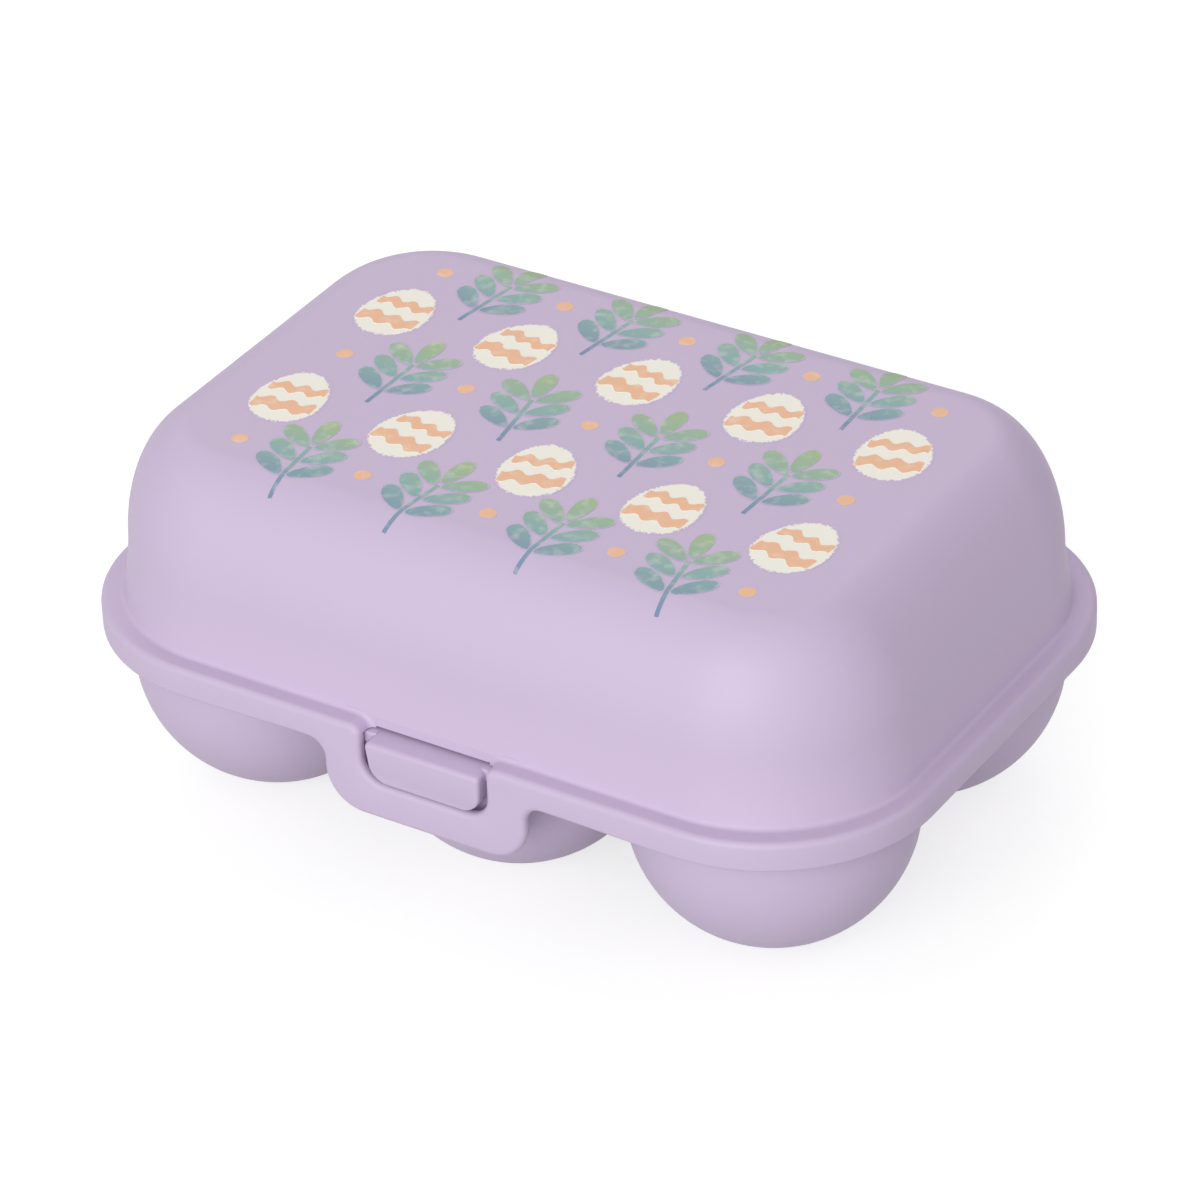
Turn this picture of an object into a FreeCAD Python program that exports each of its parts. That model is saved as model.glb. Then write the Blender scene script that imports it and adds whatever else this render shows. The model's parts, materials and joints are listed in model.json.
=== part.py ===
# Egg box for six eggs: a moulded tray of egg cups with a domed, hinged lid and a front snap latch.
# X runs along the row of three cups, the latch faces -Y, the hinge is at +Y, and the cups stand on Z = 0.

import FreeCAD, Part
import math
import os

import Sketcher

doc = FreeCAD.newDocument("egg_box")
sheet = doc.addObject("Spreadsheet::Sheet", "Size")

driving_sizes = {
    # Cups and deck of the tray
    "cup_radius": 25.0,
    "cup_wall": 1.75,
    "cup_floor": 1.8,
    "cup_side_gap": 0.1,
    "cup_row_gap": 0.9,
    "foot_radius": 7.0,
    "deck_thickness": 2.0,
    # Lid: skirt, ledge and dome
    "cup_drop": 6.05,
    "rim_margin": 5.15,
    "rim_corner_ease": 0.55,
    "skirt_height": 5.45,
    "skirt_round": 1.1,
    "lid_wall": 1.8,
    "ledge_width": 3.75,
    "ledge_root_round": 0.6,
    "dome_corner_step": 1.45,
    "wall_rise": 10.8,
    "wall_draft_degrees": 5.5,
    "shoulder_run": 13.9,
    "shoulder_rise": 22.3,
    "corner_loss_share": 1.23,
    # Fit of the lid on the tray
    "rim_gap": 0.5,
    "seat_gap": 0.25,
    # Latch tab, its window and the catch
    "window_width": 25.0,
    "window_drop": 5.1,
    "window_corner": 4.2,
    "window_shoulder": 1.6,
    "tab_leg": 7.5,
    "tab_fillet": 3.2,
    "tab_straight": 1.45,
    "tab_corner": 7.5,
    "tab_side_gap": 0.15,
    "tab_round": 1.0,
    "catch_side_gap": 1.15,
    "catch_lower_gap": 0.3,
    "catch_proud": 0.5,
    "catch_nose_drop": 0.5,
    "catch_lean": 0.75,
    "catch_root": 1.9,
    "catch_round": 0.8,
    # Hinge
    "hinge_inset": 4.25,
    "knuckle_radius": 3.2,
    "knuckle_width": 12.0,
    "knuckle_gap": 0.4,
    "lug_width": 5.0,
    "lug_side_gap": 0.3,
    "lug_under_gap": 0.5,
    "lug_cup_gap": 0.3,
    "stop_degrees": 112.0,
    "pin_radius": 1.0,
    "pin_clearance": 0.05,
    # Overrun of every cut past the face that it leaves by
    "cut_overrun": 2.0,
}
for row, (alias, value) in enumerate(driving_sizes.items(), start=1):
    sheet.set(f"A{row}", alias)
    sheet.set(f"B{row}", str(value))
    sheet.setAlias(f"B{row}", alias)
doc.recompute()

# Places that several pieces share, as formulas of the driving sizes
cup_centre = "sqrt(Size.cup_radius^2 - Size.foot_radius^2)"
skirt_level = f"({cup_centre} + Size.cup_drop)"
ledge_level = f"({skirt_level} + Size.skirt_height)"
ledge_underside = f"({ledge_level} - Size.lid_wall)"
deck_top = f"({ledge_underside} - Size.seat_gap)"
deck_underside = f"({deck_top} - Size.deck_thickness)"
cup_pitch = "(2 * Size.cup_radius + Size.cup_side_gap)"
row_pitch = "(2 * Size.cup_radius + Size.cup_row_gap)"
half_length = f"({cup_pitch} + Size.cup_radius + Size.rim_margin)"
half_width = f"({row_pitch} / 2 + Size.cup_radius + Size.rim_margin)"
rim_corner = "(Size.cup_radius + Size.rim_margin + Size.rim_corner_ease)"
rim_inset = "(Size.lid_wall + Size.rim_gap)"
tray_end = f"({half_length} - {rim_inset})"
tray_edge = f"({half_width} - {rim_inset})"
dome_half_length = f"({half_length} - Size.ledge_width)"
dome_half_width = f"({half_width} - Size.ledge_width)"
dome_corner = f"({rim_corner} - Size.dome_corner_step)"
draft_slope = "tan(Size.wall_draft_degrees * 1 deg)"
mouth_radius = "(Size.cup_radius - Size.cup_wall)"
hinge_reach = f"({half_width} + Size.knuckle_gap + Size.knuckle_radius)"
front_reach = f"({half_width} + Size.catch_proud)"
back_reach = f"({hinge_reach} + Size.knuckle_radius)"
centre_shift = f"(({front_reach} - {back_reach}) / 2)"
lug_pitch = "(Size.knuckle_width + 2 * Size.lug_side_gap + Size.lug_width)"
station_width = f"({lug_pitch} + Size.lug_width)"
hinge_offset = f"({half_length} - {rim_corner} - Size.hinge_inset - {station_width} / 2)"
half_window = "(Size.window_width / 2)"
half_catch = f"({half_window} - Size.catch_side_gap)"
half_tab = f"({half_window} + Size.tab_leg)"
half_tab_root = f"({half_tab} + Size.tab_fillet)"
tab_foot = f"({skirt_level} - Size.tab_fillet - Size.tab_straight - Size.tab_corner)"
window_foot = f"({skirt_level} - Size.window_drop)"


def measure(formula):
    """The present value of a formula of the driving sizes."""
    return float(sheet.evalExpression(formula))


def new_body(name):
    """A body whose origin stands on the table, under the middle of the cups."""
    body = doc.addObject("PartDesign::Body", name)
    body.Label = name
    body.setExpression("Placement.Base.y", centre_shift)
    return body


def new_sketch(body, name, plane, offset="0"):
    """A sketch on one of the body's own planes, moved along that plane's normal."""
    sketch = body.newObject("Sketcher::SketchObject", name)
    base = next(item for item in body.Origin.OriginFeatures if item.Role == plane)
    sketch.AttachmentSupport = [(base, "")]
    sketch.MapMode = "FlatFace"
    sketch.setExpression("AttachmentOffset.Base.z", offset)
    return sketch


def bind(sketch, kind, place, formula):
    """A driving constraint tied to a formula of the sheet."""
    number = sketch.addConstraint(Sketcher.Constraint(kind, *place, measure(formula)))
    sketch.setExpression(f"Constraints[{number}]", formula)


def draw_circle(sketch, across, up, radius):
    centre = FreeCAD.Vector(measure(across), measure(up), 0)
    number = sketch.addGeometry(Part.Circle(centre, FreeCAD.Vector(0, 0, 1), measure(radius)))
    bind(sketch, "DistanceX", (number, 3), across)
    bind(sketch, "DistanceY", (number, 3), up)
    bind(sketch, "Radius", (number,), radius)


def draw_outline(sketch, points):
    """A closed outline. A point is (across, up), or (across, up, radius, turn) where an arc starts.

    The turn is 1 for an arc that bends to the left on its way to the next point, and -1 to the right.
    """
    corners = [FreeCAD.Vector(measure(point[0]), measure(point[1]), 0) for point in points]
    numbers = []
    for index, point in enumerate(points):
        start = corners[index]
        end = corners[(index + 1) % len(points)]
        if len(point) == 2:
            numbers.append(sketch.addGeometry(Part.LineSegment(start, end)))
            continue
        radius = measure(point[2])
        turn = point[3]
        chord = end - start
        left = FreeCAD.Vector(-chord.y, chord.x, 0).normalize() * turn
        sagitta = radius - math.sqrt(max(radius**2 - (chord.Length / 2) ** 2, 0))
        middle = start + chord / 2 - left * sagitta
        numbers.append(sketch.addGeometry(Part.Arc(start, middle, end)))
    for index, point in enumerate(points):
        number = numbers[index]
        following = numbers[(index + 1) % len(points)]
        # An arc that turns right is stored from its far end, so its ends swap.
        first = 2 if len(point) == 4 and point[3] < 0 else 1
        last = 3 - first
        next_point = points[(index + 1) % len(points)]
        next_first = 2 if len(next_point) == 4 and next_point[3] < 0 else 1
        sketch.addConstraint(Sketcher.Constraint("Coincident", number, last, following, next_first))
        bind(sketch, "DistanceX", (number, first), point[0])
        bind(sketch, "DistanceY", (number, first), point[1])
        if len(point) == 4:
            bind(sketch, "Radius", (number,), point[2])


def draw_rounded_rectangle(sketch, half_x, half_y, corner):
    draw_outline(sketch, [
        (f"-({half_x} - {corner})", f"-{half_y}"),
        (f"{half_x} - {corner}", f"-{half_y}", corner, 1),
        (half_x, f"-({half_y} - {corner})"),
        (half_x, f"{half_y} - {corner}", corner, 1),
        (f"{half_x} - {corner}", half_y),
        (f"-({half_x} - {corner})", half_y, corner, 1),
        (f"-{half_x}", f"{half_y} - {corner}"),
        (f"-{half_x}", f"-({half_y} - {corner})", corner, 1),
    ])


def volume_of(feature):
    doc.recompute()
    return feature.Shape.Volume


def pad(body, sketch, name, length, reversed_way=False):
    feature = body.newObject("PartDesign::Pad", name)
    feature.Profile = sketch
    feature.Reversed = reversed_way
    feature.setExpression("Length", length)
    return feature


def pocket(body, sketch, name, length, reversed_way=False):
    """A pocket that has to take material away."""
    before = volume_of(body)
    feature = body.newObject("PartDesign::Pocket", name)
    feature.Profile = sketch
    feature.Reversed = reversed_way
    feature.setExpression("Length", length)
    if not volume_of(body) < before:
        raise RuntimeError(f"{name} cuts nothing")
    return feature


def round_edges(body, name, radius, wanted):
    """A fillet on the body's edges for which wanted(edge) is true."""
    doc.recompute()
    tip = body.Tip
    names = [f"Edge{number}" for number, edge in enumerate(tip.Shape.Edges, start=1) if wanted(edge)]
    feature = body.newObject("PartDesign::Fillet", name)
    feature.Base = (tip, names)
    feature.setExpression("Radius", radius)
    return feature


edge_search_share = 0.001


def lies_at(edge, axis, place):
    """Whether an edge lies in the plane across one axis at this place."""
    box = edge.BoundBox
    low = getattr(box, axis + "Min")
    high = getattr(box, axis + "Max")
    allowance = measure("Size.lid_wall") * edge_search_share
    return abs(low - place) < allowance and abs(high - place) < allowance


def egg_cup(name, column, row):
    """One cup: a ball-bottomed bowl with an upright neck, standing on a small flat foot."""
    body = new_body(name)
    body.setExpression("Placement.Base.x", f"{column} * {cup_pitch}")
    body.setExpression("Placement.Base.y", f"{centre_shift} + {row} * {row_pitch} / 2")
    profile = new_sketch(body, name + "_profile", "XZ_Plane")
    floor_reach = f"sqrt({mouth_radius}^2 - ({cup_centre} - Size.cup_floor)^2)"
    draw_outline(profile, [
        ("0", "0"),
        ("Size.foot_radius", "0", "Size.cup_radius", 1),
        ("Size.cup_radius", cup_centre),
        ("Size.cup_radius", deck_underside),
        (mouth_radius, deck_underside),
        (mouth_radius, cup_centre, mouth_radius, -1),
        (floor_reach, "Size.cup_floor"),
        ("0", "Size.cup_floor"),
    ])
    bowl = body.newObject("PartDesign::Revolution", name + "_bowl")
    bowl.Profile = profile
    bowl.ReferenceAxis = (profile, ["V_Axis"])
    bowl.Angle = 360
    return body


def hinge_lug(body, name, middle):
    """One lug of the tray: an arm under the lid's skirt, with a squared heel that stops the lid."""
    side = new_sketch(body, name + "_side", "YZ_Plane", f"{middle} - Size.lug_width / 2")
    arm_root = f"({half_width} - Size.rim_margin + Size.lug_cup_gap)"
    arm_top = f"({skirt_level} - Size.lug_under_gap)"
    arm_foot = f"({skirt_level} - Size.knuckle_radius)"
    heel_reach = "Size.knuckle_radius"
    stop_distance = "(Size.knuckle_radius + Size.knuckle_gap)"
    heel_rise = (
        f"(({stop_distance} + {heel_reach} * cos(Size.stop_degrees * 1 deg))"
        " / sin(Size.stop_degrees * 1 deg))"
    )
    neck = f"({hinge_reach} - sqrt(Size.knuckle_radius^2 - Size.lug_under_gap^2))"
    heel_start = f"({hinge_reach} + sqrt(Size.knuckle_radius^2 - {heel_rise}^2))"
    draw_outline(side, [
        (arm_root, deck_underside),
        (arm_root, arm_foot),
        (hinge_reach, arm_foot, "Size.knuckle_radius", 1),
        (f"{hinge_reach} + {heel_reach}", skirt_level),
        (f"{hinge_reach} + {heel_reach}", f"{skirt_level} + {heel_rise}"),
        (heel_start, f"{skirt_level} + {heel_rise}", "Size.knuckle_radius", 1),
        (hinge_reach, f"{skirt_level} + Size.knuckle_radius", "Size.knuckle_radius", 1),
        (neck, arm_top),
        (tray_edge, arm_top),
        (tray_edge, deck_underside),
    ])
    pad(body, side, name, "Size.lug_width")


def pin_bore(body, name, middle, width):
    """A round hole for a hinge pin, through a knuckle or a pair of lugs about the given middle."""
    ring = new_sketch(body, name + "_ring", "YZ_Plane", f"{middle} - {width} / 2 - Size.cut_overrun")
    draw_circle(ring, hinge_reach, skirt_level, "Size.pin_radius + Size.pin_clearance")
    pocket(body, ring, name, f"{width} + 2 * Size.cut_overrun", reversed_way=True)


sides = {"left": -1, "right": 1}
cup_columns = {"left": -1, "middle": 0, "right": 1}
cup_rows = {"front": -1, "back": 1}
pieces = []

# Egg cups, two rows of three
for row_name, row in cup_rows.items():
    for column_name, column in cup_columns.items():
        pieces.append(egg_cup(f"egg_cup_{row_name}_{column_name}", column, row))

# Tray deck: the flat rim around the cup mouths, with the hinge lugs at the back
tray = new_body("tray_deck")
deck_outline = new_sketch(tray, "deck_outline", "XY_Plane", deck_underside)
draw_rounded_rectangle(deck_outline, tray_end, tray_edge, f"({rim_corner} - {rim_inset})")
pad(tray, deck_outline, "deck_plate", "Size.deck_thickness")
cup_mouths = new_sketch(tray, "cup_mouths", "XY_Plane", deck_top)
for row in cup_rows.values():
    for column in cup_columns.values():
        draw_circle(cup_mouths, f"{column} * {cup_pitch}", f"{row} * {row_pitch} / 2", mouth_radius)
pocket(tray, cup_mouths, "mouths", "Size.deck_thickness + Size.cut_overrun")
for side_name, side in sides.items():
    station = f"{side} * {hinge_offset}"
    hinge_lug(tray, f"lug_{side_name}_outer", f"({station} + {side} * {lug_pitch} / 2)")
    hinge_lug(tray, f"lug_{side_name}_inner", f"({station} - {side} * {lug_pitch} / 2)")
    pin_bore(tray, f"lug_bore_{side_name}", f"({station})", station_width)
pieces.append(tray)

# Catch: the nose on the tray's front edge that the lid's window snaps over; its face leans back to its foot
catch = new_body("latch_catch")
catch_foot = f"({window_foot} + Size.catch_lower_gap)"
catch_face = new_sketch(catch, "catch_face", "XZ_Plane", front_reach)
catch_corner = "(Size.window_corner - Size.catch_lower_gap)"
draw_outline(catch_face, [
    (f"-({half_catch} - {catch_corner})", catch_foot),
    (f"{half_catch} - {catch_corner}", catch_foot, catch_corner, 1),
    (half_catch, f"{catch_foot} + {catch_corner}"),
    (half_catch, deck_top),
    (f"-{half_catch}", deck_top),
    (f"-{half_catch}", f"{catch_foot} + {catch_corner}", catch_corner, 1),
])
catch_depth = f"({front_reach} - {tray_edge} + Size.catch_root)"
pad(catch, catch_face, "catch_block", catch_depth, reversed_way=True)
seat = new_sketch(catch, "catch_seat", "YZ_Plane", f"-({half_catch} + Size.cut_overrun)")
draw_outline(seat, [
    (f"-{tray_edge}", deck_underside),
    (f"-{tray_edge} + Size.catch_root + Size.cut_overrun", deck_underside),
    (f"-{tray_edge} + Size.catch_root + Size.cut_overrun", f"{deck_top} + Size.cut_overrun"),
    (f"-{tray_edge}", f"{deck_top} + Size.cut_overrun"),
])
pocket(catch, seat, "deck_seat", f"2 * ({half_catch} + Size.cut_overrun)", reversed_way=True)
nose_level = f"({deck_top} - Size.catch_nose_drop)"
ramp = new_sketch(catch, "catch_ramp", "YZ_Plane", f"-({half_catch} + Size.cut_overrun)")
draw_outline(ramp, [
    (f"-{front_reach}", nose_level),
    (f"-{tray_edge}", deck_top),
    (f"-{tray_edge}", f"{deck_top} + Size.cut_overrun"),
    (f"-{front_reach}", f"{deck_top} + Size.cut_overrun"),
])
pocket(catch, ramp, "ramp", f"2 * ({half_catch} + Size.cut_overrun)", reversed_way=True)
lean = new_sketch(catch, "face_lean", "YZ_Plane", f"-({half_catch} + Size.cut_overrun)")
draw_outline(lean, [
    (f"-{front_reach}", nose_level),
    (f"-({front_reach} + Size.cut_overrun)", nose_level),
    (f"-({front_reach} + Size.cut_overrun)", f"{catch_foot} - Size.cut_overrun"),
    (f"-{front_reach} + Size.catch_lean", f"{catch_foot} - Size.cut_overrun"),
    (f"-{front_reach} + Size.catch_lean", catch_foot),
])
pocket(catch, lean, "leaning_face", f"2 * ({half_catch} + Size.cut_overrun)", reversed_way=True)


def bounds_catch_face(edge):
    """Whether both ends of an edge lie in the catch's leaning front face."""
    allowance = measure("Size.lid_wall") * edge_search_share
    nose = measure(nose_level)
    lean_slope = measure("Size.catch_lean") / (nose - measure(catch_foot))
    face_front = measure(front_reach)
    return all(abs(end.Y + face_front - (nose - end.Z) * lean_slope) < allowance for end in edge.Vertexes)


round_edges(catch, "nose_rounding", "Size.catch_round", bounds_catch_face)
pieces.append(catch)

shoulder_turn_shares = (0.2, 0.4, 0.6, 0.8, 1.0)


def dome_section(body, name, level, inset, wall):
    """One level section of the dome, drawn in from the ledge's inner edge by inset and a wall."""
    section = new_sketch(body, name, "XY_Plane", level)
    draw_rounded_rectangle(
        section,
        f"({dome_half_length} - {wall} - {inset})",
        f"({dome_half_width} - {wall} - {inset})",
        f"({dome_corner} - {wall} - Size.corner_loss_share * {inset})",
    )
    return section


def dome_sections(body, name, foot_level, wall):
    """Sections up the drafted wall and round the elliptical shoulder to the flat top."""
    shoulder_level = f"({ledge_level} + Size.wall_rise)"
    shoulder_inset = f"(Size.wall_rise * {draft_slope})"
    foot_inset = f"(({foot_level} - {ledge_level}) * {draft_slope})"
    sections = [
        dome_section(body, name + "_foot", foot_level, foot_inset, wall),
        dome_section(body, name + "_shoulder", shoulder_level, shoulder_inset, wall),
    ]
    for number, share in enumerate(shoulder_turn_shares, start=1):
        turn = f"({share} * 90 deg)"
        level = f"({shoulder_level} + (Size.shoulder_rise - {wall}) * sin{turn})"
        inset = f"({shoulder_inset} + (Size.shoulder_run - {wall}) * (1 - cos{turn}))"
        sections.append(dome_section(body, f"{name}_turn_{number}", level, inset, wall))
    return sections


def meets_dome(edge):
    """Whether an edge is the foot of the dome's wall, inside the rounded edge of the ledge."""
    rounded_edge = measure(f"{half_width} - Size.skirt_round - Size.ledge_root_round / 2")
    rounded_end = measure(f"{half_length} - Size.skirt_round - Size.ledge_root_round / 2")
    box = edge.BoundBox
    within = max(-box.YMin, box.YMax) < rounded_edge and max(-box.XMin, box.XMax) < rounded_end
    return within and lies_at(edge, "Z", measure(ledge_level))


# Lid shell: skirt and ledge, then the hollow dome, the latch openings and the hinge knuckles
lid = new_body("lid_shell")
rim_outline = new_sketch(lid, "rim_outline", "XY_Plane", skirt_level)
draw_rounded_rectangle(rim_outline, half_length, half_width, rim_corner)
pad(lid, rim_outline, "rim_block", "Size.skirt_height")
skirt_inside = new_sketch(lid, "skirt_inside", "XY_Plane", skirt_level)
draw_rounded_rectangle(
    skirt_inside,
    f"({half_length} - Size.lid_wall)",
    f"({half_width} - Size.lid_wall)",
    f"({rim_corner} - Size.lid_wall)",
)
pocket(lid, skirt_inside, "skirt_hollow", "Size.skirt_height - Size.lid_wall", reversed_way=True)
ledge = measure(ledge_level)
round_edges(lid, "skirt_rounding", "Size.skirt_round", lambda edge: lies_at(edge, "Z", ledge))
outer_sections = dome_sections(lid, "dome_outside", ledge_level, "0")
dome = lid.newObject("PartDesign::AdditiveLoft", "dome")
dome.Profile = outer_sections[0]
dome.Sections = outer_sections[1:]
round_edges(lid, "ledge_root", "Size.ledge_root_round", meets_dome)
inner_sections = dome_sections(lid, "dome_inside", ledge_underside, "Size.lid_wall")
hollow = lid.newObject("PartDesign::SubtractiveLoft", "dome_hollow")
hollow.Profile = inner_sections[0]
hollow.Sections = inner_sections[1:]
window = new_sketch(lid, "window_notch", "XY_Plane", ledge_level)
draw_outline(window, [
    (f"-{half_window}", f"-({half_width} + Size.cut_overrun)"),
    (half_window, f"-({half_width} + Size.cut_overrun)"),
    (half_window, f"-({dome_half_width} + Size.lid_wall)", "Size.lid_wall", 1),
    (f"{half_window} - Size.lid_wall", f"-{dome_half_width}"),
    (f"-({half_window} - Size.lid_wall)", f"-{dome_half_width}", "Size.lid_wall", 1),
    (f"-{half_window}", f"-({dome_half_width} + Size.lid_wall)"),
])
pocket(lid, window, "window", "Size.skirt_height + Size.cut_overrun")
shoulders = new_sketch(lid, "window_shoulders", "XZ_Plane", f"{half_width} + Size.cut_overrun")
shoulder_foot = f"({ledge_level} - Size.window_shoulder)"
shoulder_end = f"({half_window} + Size.window_shoulder)"
shoulder_clearance = f"({ledge_level} + Size.cut_overrun)"
draw_outline(shoulders, [
    (half_window, shoulder_foot, "Size.window_shoulder", -1),
    (shoulder_end, ledge_level),
    (shoulder_end, shoulder_clearance),
    (f"-{shoulder_end}", shoulder_clearance),
    (f"-{shoulder_end}", ledge_level, "Size.window_shoulder", -1),
    (f"-{half_window}", shoulder_foot),
])
pocket(lid, shoulders, "shoulder_rounding", "Size.cut_overrun + Size.ledge_width - Size.ledge_root_round")
tab_gap = new_sketch(lid, "tab_gap", "XZ_Plane", f"{half_width} + Size.cut_overrun")
draw_outline(tab_gap, [
    (f"-({half_tab_root} + Size.tab_side_gap)", f"{skirt_level} - Size.cut_overrun"),
    (f"{half_tab_root} + Size.tab_side_gap", f"{skirt_level} - Size.cut_overrun"),
    (f"{half_tab_root} + Size.tab_side_gap", ledge_underside),
    (f"-({half_tab_root} + Size.tab_side_gap)", ledge_underside),
])
pocket(lid, tab_gap, "tab_slot", "Size.cut_overrun + Size.lid_wall + Size.rim_gap")
for side_name, side in sides.items():
    station = f"({side} * {hinge_offset})"
    knuckle_start = f"{station} - Size.knuckle_width / 2"
    knuckle_side = new_sketch(lid, f"knuckle_{side_name}_side", "YZ_Plane", knuckle_start)
    draw_outline(knuckle_side, [
        (f"{half_width} - Size.lid_wall / 2", skirt_level),
        (f"{hinge_reach} - Size.knuckle_radius", skirt_level, "Size.knuckle_radius", 1),
        (hinge_reach, f"{skirt_level} - Size.knuckle_radius", "Size.knuckle_radius", 1),
        (f"{hinge_reach} + Size.knuckle_radius", skirt_level, "Size.knuckle_radius", 1),
        (hinge_reach, f"{skirt_level} + Size.knuckle_radius"),
        (f"{half_width} - Size.lid_wall / 2", f"{skirt_level} + Size.knuckle_radius"),
    ])
    pad(lid, knuckle_side, f"knuckle_{side_name}", "Size.knuckle_width")
    pin_bore(lid, f"knuckle_bore_{side_name}", station, "Size.knuckle_width")
pieces.append(lid)

# Latch tab: the springy tongue at the lid's front, whose window holds the catch
tab = new_body("latch_tab")
tab_face = new_sketch(tab, "tab_face", "XZ_Plane", half_width)
draw_outline(tab_face, [
    (f"-({half_tab} - Size.tab_corner)", tab_foot),
    (f"{half_tab} - Size.tab_corner", tab_foot, "Size.tab_corner", 1),
    (half_tab, f"{tab_foot} + Size.tab_corner"),
    (half_tab, f"{skirt_level} - Size.tab_fillet", "Size.tab_fillet", -1),
    (half_tab_root, skirt_level),
    (half_tab_root, ledge_underside),
    (half_window, ledge_underside),
    (half_window, f"{window_foot} + Size.window_corner", "Size.window_corner", -1),
    (f"{half_window} - Size.window_corner", window_foot),
    (f"-({half_window} - Size.window_corner)", window_foot, "Size.window_corner", -1),
    (f"-{half_window}", f"{window_foot} + Size.window_corner"),
    (f"-{half_window}", ledge_underside),
    (f"-{half_tab_root}", ledge_underside),
    (f"-{half_tab_root}", skirt_level, "Size.tab_fillet", -1),
    (f"-{half_tab}", f"{skirt_level} - Size.tab_fillet"),
    (f"-{half_tab}", f"{tab_foot} + Size.tab_corner", "Size.tab_corner", 1),
])
pad(tab, tab_face, "tab_plate", "Size.lid_wall", reversed_way=True)
front = -measure(half_width)
root_level = measure(ledge_underside)
root_side = measure(half_tab_root)
round_edges(tab, "tab_rounding", "Size.tab_round", lambda edge: (
    lies_at(edge, "Y", front)
    and not lies_at(edge, "Z", root_level)
    and not lies_at(edge, "X", root_side)
    and not lies_at(edge, "X", -root_side)
))
pieces.append(tab)

# Hinge pins, one through each knuckle and its two lugs
for side_name, side in sides.items():
    pin = doc.addObject("Part::Cylinder", f"hinge_pin_{side_name}")
    pin.Label = f"hinge_pin_{side_name}"
    pin.setExpression("Radius", "Size.pin_radius")
    pin.setExpression("Height", station_width)
    pin.Placement.Rotation = FreeCAD.Rotation(FreeCAD.Vector(0, 1, 0), 90)
    pin.setExpression("Placement.Base.x", f"{side} * {hinge_offset} - {station_width} / 2")
    pin.setExpression("Placement.Base.y", f"{hinge_reach} + {centre_shift}")
    pin.setExpression("Placement.Base.z", skirt_level)
    pieces.append(pin)

doc.recompute()

for item in doc.Objects:
    if "Invalid" in item.State or "Error" in item.State:
        raise RuntimeError(f"{item.Label} failed: {item.State}")
for piece in pieces:
    if piece.Shape.isNull() or not piece.Shape.isValid() or len(piece.Shape.Solids) != 1:
        raise RuntimeError(f"{piece.Label} is not one sound solid")

os.makedirs("parts", exist_ok=True)
for piece in pieces:
    piece.Shape.exportStep(f"parts/{piece.Label}.step")
    box = piece.Shape.BoundBox
    print(f"{piece.Label}: volume {piece.Shape.Volume:.0f} mm3, box {box}")
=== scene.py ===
# Egg box for six eggs in lilac plastic: a tray of round cups under a domed, hinged lid with a snap latch.
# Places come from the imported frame. Lengths are in metres, and MM turns millimetres into metres.

import bmesh
import bpy
import json
import math
from mathutils import Matrix, Vector
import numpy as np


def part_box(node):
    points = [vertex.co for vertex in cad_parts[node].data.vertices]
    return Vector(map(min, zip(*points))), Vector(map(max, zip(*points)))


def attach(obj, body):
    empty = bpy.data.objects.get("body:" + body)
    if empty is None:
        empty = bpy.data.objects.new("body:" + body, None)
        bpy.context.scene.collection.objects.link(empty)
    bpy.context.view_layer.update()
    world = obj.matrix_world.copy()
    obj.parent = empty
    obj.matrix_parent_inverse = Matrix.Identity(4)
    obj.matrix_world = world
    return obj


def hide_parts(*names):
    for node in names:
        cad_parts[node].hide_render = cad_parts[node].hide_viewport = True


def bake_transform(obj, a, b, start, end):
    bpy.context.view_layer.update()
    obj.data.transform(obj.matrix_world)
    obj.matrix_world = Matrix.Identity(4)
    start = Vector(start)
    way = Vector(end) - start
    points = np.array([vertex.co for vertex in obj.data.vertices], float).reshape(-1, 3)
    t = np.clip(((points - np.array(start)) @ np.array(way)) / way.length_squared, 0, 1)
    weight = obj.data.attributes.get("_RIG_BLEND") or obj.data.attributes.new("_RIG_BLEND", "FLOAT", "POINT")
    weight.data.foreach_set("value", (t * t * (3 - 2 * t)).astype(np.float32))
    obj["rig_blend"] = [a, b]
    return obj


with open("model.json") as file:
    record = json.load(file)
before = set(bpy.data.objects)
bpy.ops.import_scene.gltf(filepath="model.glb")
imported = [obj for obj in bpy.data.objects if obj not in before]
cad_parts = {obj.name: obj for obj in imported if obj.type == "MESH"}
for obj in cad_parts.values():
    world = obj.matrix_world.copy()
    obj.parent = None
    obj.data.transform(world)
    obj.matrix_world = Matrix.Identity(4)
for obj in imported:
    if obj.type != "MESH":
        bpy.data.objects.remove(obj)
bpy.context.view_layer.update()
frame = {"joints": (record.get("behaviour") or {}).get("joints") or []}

# Egg cups: six ball-bottomed bowls in two rows, the lower part of the tray's single moulding.
# Injection-moulded polypropylene, under 2 mm thick, with a small flat foot below each bowl.
# Each bowl hangs from the deck, and an egg stands in it on its round end.
MM = 0.001
cup_wall = 1.75 * MM
cup_floor = 1.8 * MM
foot_radius = 7 * MM
foot_round = 2.5 * MM
cup_columns = 3
cup_rows = 2
cup_sides = 112
ball_steps = 26
round_steps = 5
weld_distance = 0.0005 * MM
sharp_turn = math.radians(38)
lilac_colour = "#CDBAD8"
lilac_shade_colour = "#CBB8D6"

front_left_low, front_left_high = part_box("egg_cup_front_left")
back_right_low, back_right_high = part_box("egg_cup_back_right")
first_cup = (front_left_low + front_left_high) / 2
last_cup = (back_right_low + back_right_high) / 2
middle = (first_cup + last_cup) / 2
cup_radius = (front_left_high.x - front_left_low.x) / 2
cup_centre = math.sqrt(cup_radius**2 - foot_radius**2)
mouth_radius = cup_radius - cup_wall
deck_underside = front_left_high.z


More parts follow.
